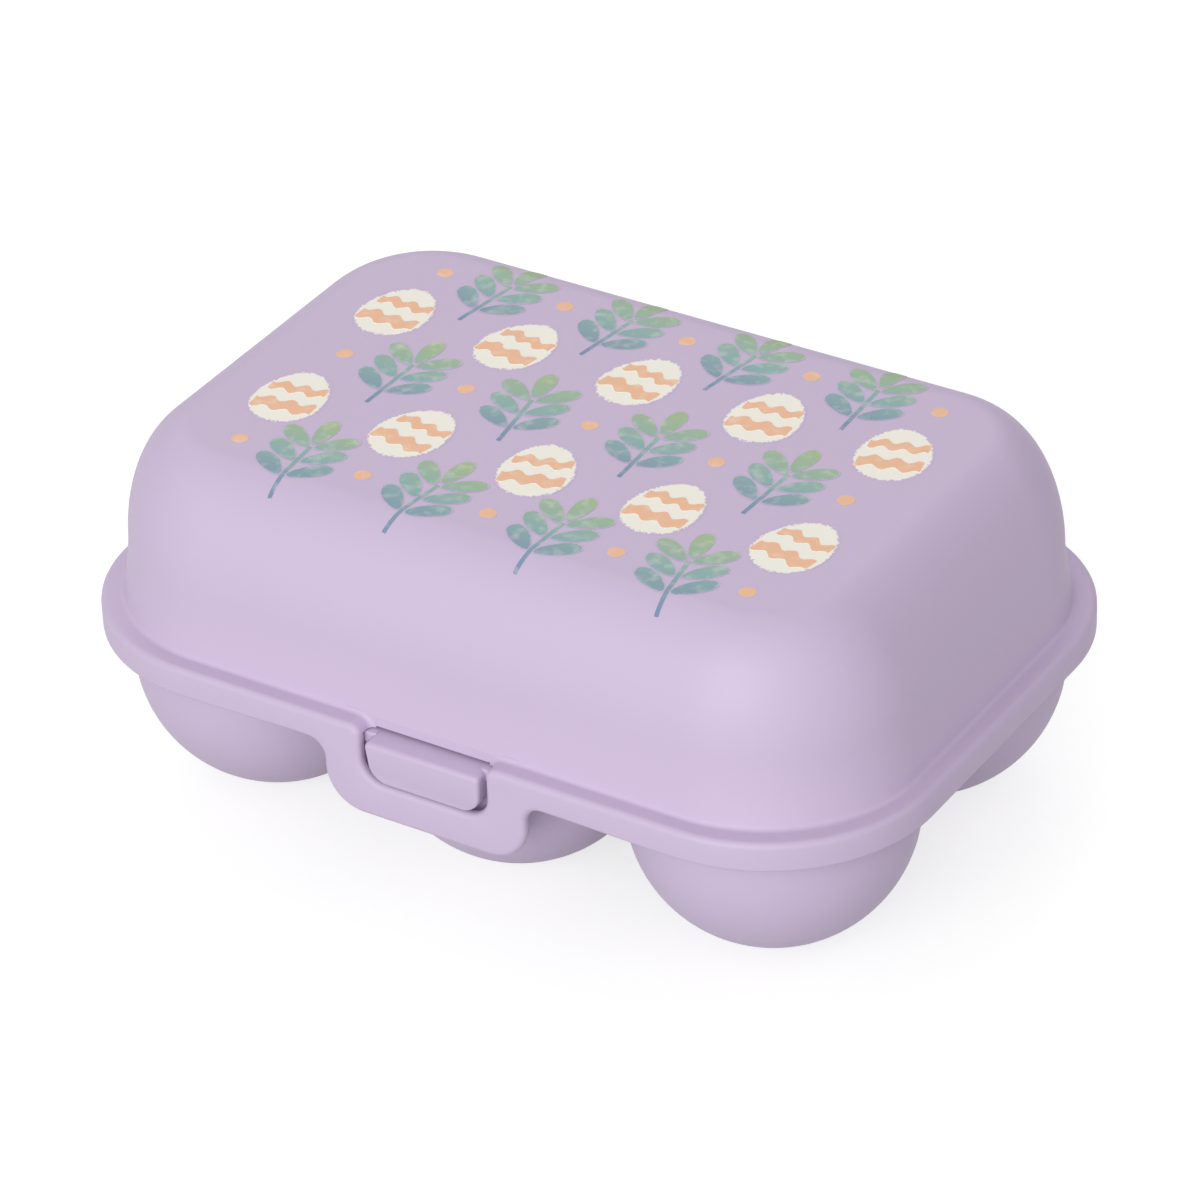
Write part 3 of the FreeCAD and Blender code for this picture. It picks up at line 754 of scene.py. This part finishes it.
band_reach_share = 0.86
band_wave = 0.6 * MM
band_wave_radians = 9
stem_foot = -10.5 * MM
stem_half_width = 0.45 * MM
stem_overrun = 0.47 * MM
leaf_pairs = 3
leaf_spacing = 4.7 * MM
leaf_start = 0.55 * MM
leaf_lean_degrees = 38
leaf_length = 8.4 * MM
leaf_half_width = 1.8 * MM
leaf_root_share = 0.75
leaf_tip_share = 1.25
leaf_colour_reach = 22.05 * MM
dot_radius = 1.6 * MM
print_pitch = 25 * MM
egg_row_pitch = 33 * MM
sprig_row_pitch = 31 * MM
dot_row_pitch = 32 * MM
sprig_shift = -1.5 * MM
egg_turn_radians = 0.22
sprig_turn_radians = 0.16
turn_seed = 7
height_over_lid = 1 * MM


def chalk_ink(name):
    """Matt printing ink whose colour lies in the mesh; its edge breaks up into the ground below it."""
    speck_size = 0.45 * MM
    speck_detail = 2.0
    streak_size = 2.2 * MM
    streak_detail = 4.0
    streak_low, streak_high = 0.5, 0.8
    streak_strength = 0.35
    bare_level, covered_level = 0.72, 0.86
    ink_roughness = 0.6
    ink_ior = 1.45
    material = blank_material(name)
    tree = material.node_tree
    place = add(tree, "ShaderNodeTexCoord").outputs["Object"]
    ink = add(tree, "ShaderNodeAttribute", attribute_name="ink").outputs["Color"]
    ground = add(tree, "ShaderNodeAttribute", attribute_name="ground").outputs["Color"]
    cover = add(tree, "ShaderNodeAttribute", attribute_name="cover").outputs["Fac"]
    speck = add(tree, "ShaderNodeTexNoise", {
        "Vector": place, "Scale": 1 / speck_size, "Detail": speck_detail})
    streak = add(tree, "ShaderNodeTexNoise", {
        "Vector": place, "Scale": 1 / streak_size, "Detail": streak_detail})
    worn = add(tree, "ShaderNodeMath", {0: cover, 1: speck.outputs[0]}, operation="ADD")
    kept = add(tree, "ShaderNodeMapRange", {
        "Value": worn.outputs[0], "From Min": bare_level, "From Max": covered_level})
    paler = add(tree, "ShaderNodeMapRange", {
        "Value": streak.outputs[0], "From Min": streak_low, "From Max": streak_high,
        "To Max": streak_strength})
    chalked = add(tree, "ShaderNodeMix", {
        0: paler.outputs[0], 6: ink, 7: linear(ink_cream)}, data_type="RGBA")
    colour = add(tree, "ShaderNodeMix", {
        0: kept.outputs[0], 6: ground, 7: chalked.outputs[2]}, data_type="RGBA")
    surface = add(tree, "ShaderNodeBsdfPrincipled", {
        "Base Color": colour.outputs[2], "Roughness": ink_roughness, "IOR": ink_ior})
    add(tree, "ShaderNodeOutputMaterial", {"Surface": surface.outputs[0]})
    return material


def ink_point(bm, spot, colour, cover, coat, ground):
    """A point of the film with its ink, its share of cover, and the colour that shows where it is worn."""
    vertex = bm.verts.new((spot[0], spot[1], 0.0))
    vertex[bm.verts.layers.float_color["ink"]] = colour
    vertex[bm.verts.layers.float_color["ground"]] = linear(ground)
    vertex[bm.verts.layers.float["cover"]] = cover
    vertex[bm.verts.layers.float["coat"]] = coat
    return vertex


def ink_shape(bm, outline, colour_at, coat=0.0):
    """One flat shape of ink: rings that shrink to its middle, with full cover inside, none at the edge."""
    centre = sum((Vector(point) for point in outline), Vector((0.0, 0.0))) / len(outline)
    loops = []
    for share in ring_shares:
        cover = min(1.0, (1 - share) / fade_share)
        points = outline if share else outline[:1]
        spots = [centre + (Vector(point) - centre) * share for point in points]
        loops.append([ink_point(bm, spot, colour_at(spot), cover, coat, lilac_colour) for spot in spots])
    for near, far in zip(loops, loops[1:]):
        for index in range(len(near)):
            after = (index + 1) % len(near)
            inner = [far[0]] if len(far) == 1 else [far[after], far[index]]
            bm.faces.new([near[index], near[after]] + inner)


def ink_stroke(bm, path, aside, colour_at, coat=0.0, ground=lilac_colour):
    """A brush stroke along a path, with the vector aside from its middle to its edge."""
    columns = []
    for index, point in enumerate(path):
        end_cover = 0.0 if index in (0, len(path) - 1) else 1.0
        spots = [Vector(point) + aside * share for share in stroke_shares]
        columns.append([ink_point(bm, spot, colour_at(spot), end_cover * cover, coat, ground)
                        for spot, cover in zip(spots, stroke_covers)])
    for near, far in zip(columns, columns[1:]):
        for index in range(len(near) - 1):
            bm.faces.new((near[index], far[index], far[index + 1], near[index + 1]))


def flat_colour(hex_colour):
    colour = linear(hex_colour)
    return lambda spot: colour


def leaf_colour(spot):
    """Blue at the foot of a sprig, teal in the middle, green at the tip."""
    share = min(1.0, max(0.0, (spot.y - stem_foot) / leaf_colour_reach))
    if share < 0.5:
        low, high, mix = ink_leaf_foot, ink_leaf_middle, share * 2
    else:
        low, high, mix = ink_leaf_middle, ink_leaf_tip, share * 2 - 1
    return [a + (b - a) * mix for a, b in zip(linear(low), linear(high))]


def leaf_outline(root_x, root_y, degrees):
    """A pointed oval that grows from its root at an angle, fuller towards its tip."""
    lean = math.radians(degrees)
    along = Vector((math.cos(lean), math.sin(lean)))
    aside = Vector((-math.sin(lean), math.cos(lean)))
    points = []
    for step in range(outline_steps):
        turn = 2 * math.pi * step / outline_steps
        reach = (1 - math.cos(turn)) / 2
        fullness = leaf_root_share + (leaf_tip_share - leaf_root_share) * reach
        spot = Vector((root_x, root_y)) + along * leaf_length * reach
        points.append(spot - aside * leaf_half_width * math.sin(turn) * fullness)
    return points


def draw_egg(bm):
    """A cream egg with two wavy bands."""
    points = []
    for step in range(outline_steps):
        turn = 2 * math.pi * step / outline_steps
        points.append((egg_half_width * math.cos(turn) * (1 - egg_narrowing_share * math.sin(turn)),
                       egg_half_height * math.sin(turn)))
    ink_shape(bm, points, flat_colour(ink_cream))
    for level, half_height in ((low_band_share, low_band_half_height),
                               (high_band_share, high_band_half_height)):
        egg_reach = egg_half_width * math.sqrt(1 - level**2) * (1 - egg_narrowing_share * level)
        path = []
        for step in range(outline_steps + 1):
            share = step * 2 / outline_steps - 1
            wave = band_wave * math.sin(band_wave_radians * share)
            path.append((egg_reach * band_reach_share * share, egg_half_height * level + wave))
        ink_stroke(bm, path, Vector((0.0, half_height)), flat_colour(ink_peach), coat=1.0, ground=ink_cream)


def draw_sprig(bm):
    """A stem with pairs of leaves and one leaf at its tip, none of which overlap."""
    stem_length = leaf_pairs * leaf_spacing + stem_overrun
    path = [(0.0, stem_foot + stem_length * step / outline_steps) for step in range(outline_steps + 1)]
    ink_stroke(bm, path, Vector((-stem_half_width, 0.0)), leaf_colour)
    leaves = []
    for pair in range(1, leaf_pairs + 1):
        root = stem_foot + pair * leaf_spacing
        leaves.append(leaf_outline(leaf_start, root, leaf_lean_degrees))
        leaves.append(leaf_outline(-leaf_start, root, 180 - leaf_lean_degrees))
    leaves.append(leaf_outline(0.0, stem_foot + stem_length + leaf_start, 90))
    for leaf in leaves:
        ink_shape(bm, leaf, leaf_colour, coat=1.0)


def draw_dot(bm):
    ink_shape(bm, full_circle(0, 0, dot_radius, outline_steps), flat_colour(ink_peach))


def print_tree():
    """Sets a motif out in rows over the lid, turns each copy a little, and lays it on the lid as a film."""
    tree, given, points = rows_tree("Printed rows", {
        "Turn": "Float", "Seed": "Int", "Lid": "Object", "Film": "Float"})
    back_turn = add(tree, "ShaderNodeMath", {0: given["Turn"], 1: -1.0}, operation="MULTIPLY")
    turn = add(tree, "FunctionNodeRandomValue", {
        2: back_turn.outputs[0], 3: given["Turn"], "Seed": given["Seed"]}, data_type="FLOAT")
    turned = add(tree, "ShaderNodeCombineXYZ", {"Z": turn.outputs[1]})
    stood = add(tree, "GeometryNodeInstanceOnPoints", {
        "Points": points, "Instance": given["Piece"], "Rotation": turned.outputs[0]})
    real = add(tree, "GeometryNodeRealizeInstances", {"Geometry": stood.outputs[0]})
    lid = add(tree, "GeometryNodeObjectInfo", {"Object": given["Lid"]})
    hit = add(tree, "GeometryNodeRaycast", {"Target Geometry": lid.outputs["Geometry"]})
    coat = add(tree, "GeometryNodeInputNamedAttribute", {"Name": "coat"}, data_type="FLOAT")
    lift = add(tree, "ShaderNodeMath", {0: coat.outputs[0], 1: given["Film"]}, operation="MULTIPLY")
    raised = add(tree, "ShaderNodeVectorMath", {
        0: hit.outputs["Hit Normal"], "Scale": lift.outputs[0]}, operation="SCALE")
    spot = add(tree, "ShaderNodeVectorMath", {
        0: hit.outputs["Hit Position"], 1: raised.outputs[0]}, operation="ADD")
    laid = add(tree, "GeometryNodeSetPosition", {
        "Geometry": real.outputs[0], "Position": spot.outputs[0]})
    thick = add(tree, "GeometryNodeExtrudeMesh", {
        "Mesh": laid.outputs[0], "Offset Scale": given["Film"], "Individual": False}, mode="FACES")
    under = add(tree, "GeometryNodeFlipFaces", {"Mesh": laid.outputs[0]})
    closed = add(tree, "GeometryNodeJoinGeometry", {0: under.outputs[0]})
    tree.links.new(thick.outputs["Mesh"], closed.inputs[0])
    welded = add(tree, "GeometryNodeMergeByDistance", {
        "Geometry": closed.outputs[0], "Distance": weld_distance})
    dressed = add(tree, "GeometryNodeSetMaterial", {
        "Geometry": welded.outputs[0], "Material": given["Finish"]})
    add(tree, "NodeGroupOutput", {"Pieces": dressed.outputs[0]})
    return tree


lid_ink = chalk_ink("chalky screen ink")
printed_rows = print_tree()
for motif_name, draw, columns, rows, row_pitch, shift, turn in (
        ("printed_eggs", draw_egg, 5, 2, egg_row_pitch, 0.0, egg_turn_radians),
        ("printed_sprigs", draw_sprig, 4, 3, sprig_row_pitch, sprig_shift, sprig_turn_radians),
        ("printed_dots", draw_dot, 5, 3, dot_row_pitch, 0.0, 0.0)):
    motif_mesh = bmesh.new()
    for layer in ("ink", "ground"):
        motif_mesh.verts.layers.float_color.new(layer)
    for layer in ("cover", "coat"):
        motif_mesh.verts.layers.float.new(layer)
    draw(motif_mesh)
    motif = bpy.data.objects.new(motif_name, bpy.data.meshes.new(motif_name))
    motif_mesh.to_mesh(motif.data)
    motif_mesh.free()
    motif.data.materials.append(lid_ink)
    bpy.context.collection.objects.link(motif)
    apply_tree(motif, printed_rows, {
        "Columns": columns, "Rows": rows,
        "Length": (columns - 1) * print_pitch, "Width": (rows - 1) * row_pitch,
        "Middle": (0.0, middle.y + shift, lid_high.z + height_over_lid), "Turn": turn, "Seed": turn_seed,
        "Lid": lid_shell, "Film": ink_film, "Finish": lid_ink})
    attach(motif, "lid")

# Floor: a wide white sheet that the box stands on, which shows only the box's soft shadow.
# The light is a large soft box in front, weaker ones behind on the left and on the right,
# and a white surround.
floor_size = 6.0
floor_colour = "#B4B4B4"
floor_glow = 0.7
surround_level = 0.56
white = "#FFFFFF"
lamp_distance = 1.8


def white_sheet():
    """A matt white floor that looks white to the camera and in reflections, apart from shadows."""
    material = blank_material("white paper sheet")
    tree = material.node_tree
    path = add(tree, "ShaderNodeLightPath").outputs
    seen = add(tree, "ShaderNodeMath", {
        0: path["Is Camera Ray"], 1: path["Is Glossy Ray"]}, operation="MAXIMUM")
    seen = add(tree, "ShaderNodeMath", {
        0: seen.outputs[0], 1: path["Is Transmission Ray"]}, operation="MAXIMUM")
    lift = add(tree, "ShaderNodeMath", {0: seen.outputs[0], 1: floor_glow}, operation="MULTIPLY")
    matt = add(tree, "ShaderNodeBsdfDiffuse", {"Color": linear(floor_colour)})
    glow = add(tree, "ShaderNodeEmission", {"Color": linear(white), "Strength": lift.outputs[0]})
    both = add(tree, "ShaderNodeAddShader", {0: matt.outputs[0], 1: glow.outputs[0]})
    add(tree, "ShaderNodeOutputMaterial", {"Surface": both.outputs[0]})
    return material


def outward(azimuth, elevation):
    """The way out from the box, in degrees; azimuth runs from the front towards the right."""
    turn, rise = math.radians(azimuth), math.radians(elevation)
    return Vector((math.sin(turn) * math.cos(rise), -math.cos(turn) * math.cos(rise), math.sin(rise)))


def soft_box(name, colour, azimuth, elevation, width, height, power):
    """A lamp that faces the box."""
    backward = outward(azimuth, elevation)
    lamp = bpy.data.lights.new(name, "AREA")
    lamp.shape = "RECTANGLE"
    lamp.size = width
    lamp.size_y = height
    lamp.energy = power
    lamp.color = linear(colour)[:3]
    holder = bpy.data.objects.new(name, lamp)
    holder.location = backward * lamp_distance
    holder.rotation_euler = backward.to_track_quat("Z", "Y").to_euler()
    bpy.context.collection.objects.link(holder)


floor_mesh = bmesh.new()
bmesh.ops.create_grid(floor_mesh, x_segments=1, y_segments=1, size=floor_size / 2)
floor = make_piece("floor", floor_mesh, white_sheet())

world = bpy.data.worlds.new("white surround")
bpy.context.scene.world = world
world.use_nodes = True
sky = world.node_tree
sky.nodes.clear()
sky_path = add(sky, "ShaderNodeLightPath").outputs
sky_seen = add(sky, "ShaderNodeMath", {
    0: sky_path["Is Camera Ray"], 1: sky_path["Is Transmission Ray"]}, operation="MAXIMUM")
sky_level = add(sky, "ShaderNodeMapRange", {"Value": sky_seen.outputs[0], "To Min": surround_level})
sky_light = add(sky, "ShaderNodeBackground", {"Color": linear(white), "Strength": sky_level.outputs[0]})
add(sky, "ShaderNodeOutputWorld", {"Surface": sky_light.outputs[0]})

soft_box("front soft box", "#FBFFFA", azimuth=8, elevation=20, width=1.5, height=1.3, power=20.5)
soft_box("back left soft box", white, azimuth=-140, elevation=40, width=1.5, height=1.5, power=7)
soft_box("right soft box", "#FFF7FF", azimuth=68, elevation=14, width=1.0, height=1.0, power=1.7)

# Camera: a long lens from the front right, looking down at the box, turned a little on its own axis.
# The frame is square, so shares of the image width serve both ways.
image_pixels = 1200
focal_pixels = 6010
shift_right_pixels = 9.01
shift_down_pixels = 1.03
view_azimuth = 32.9
view_elevation = 32.86
view_roll = math.radians(-2.23)
view_distance = 1036.67 * MM
aim_right = 2.51 * MM
aim_rise = 0.14 * MM
nearest_view = 10 * MM

lens = bpy.data.cameras.new("camera")
lens.sensor_fit = "HORIZONTAL"
lens.lens = lens.sensor_width * focal_pixels / image_pixels
lens.shift_x = -shift_right_pixels / image_pixels
lens.shift_y = shift_down_pixels / image_pixels
lens.clip_start = nearest_view
view_aim = Vector((aim_right, middle.y, ledge_underside + aim_rise))
view_back = outward(view_azimuth, view_elevation)
level_right = outward(view_azimuth + 90, 0)
level_up = view_back.cross(level_right)
view_right = math.cos(view_roll) * level_right + math.sin(view_roll) * level_up
view_up = view_back.cross(view_right)
view_turn = Matrix((view_right, view_up, view_back)).transposed().to_4x4()
camera = bpy.data.objects.new("camera", lens)
camera.matrix_world = Matrix.Translation(view_aim + view_distance * view_back) @ view_turn
bpy.context.collection.objects.link(camera)
bpy.context.scene.camera = camera
bpy.context.scene.view_settings.view_transform = "Standard"
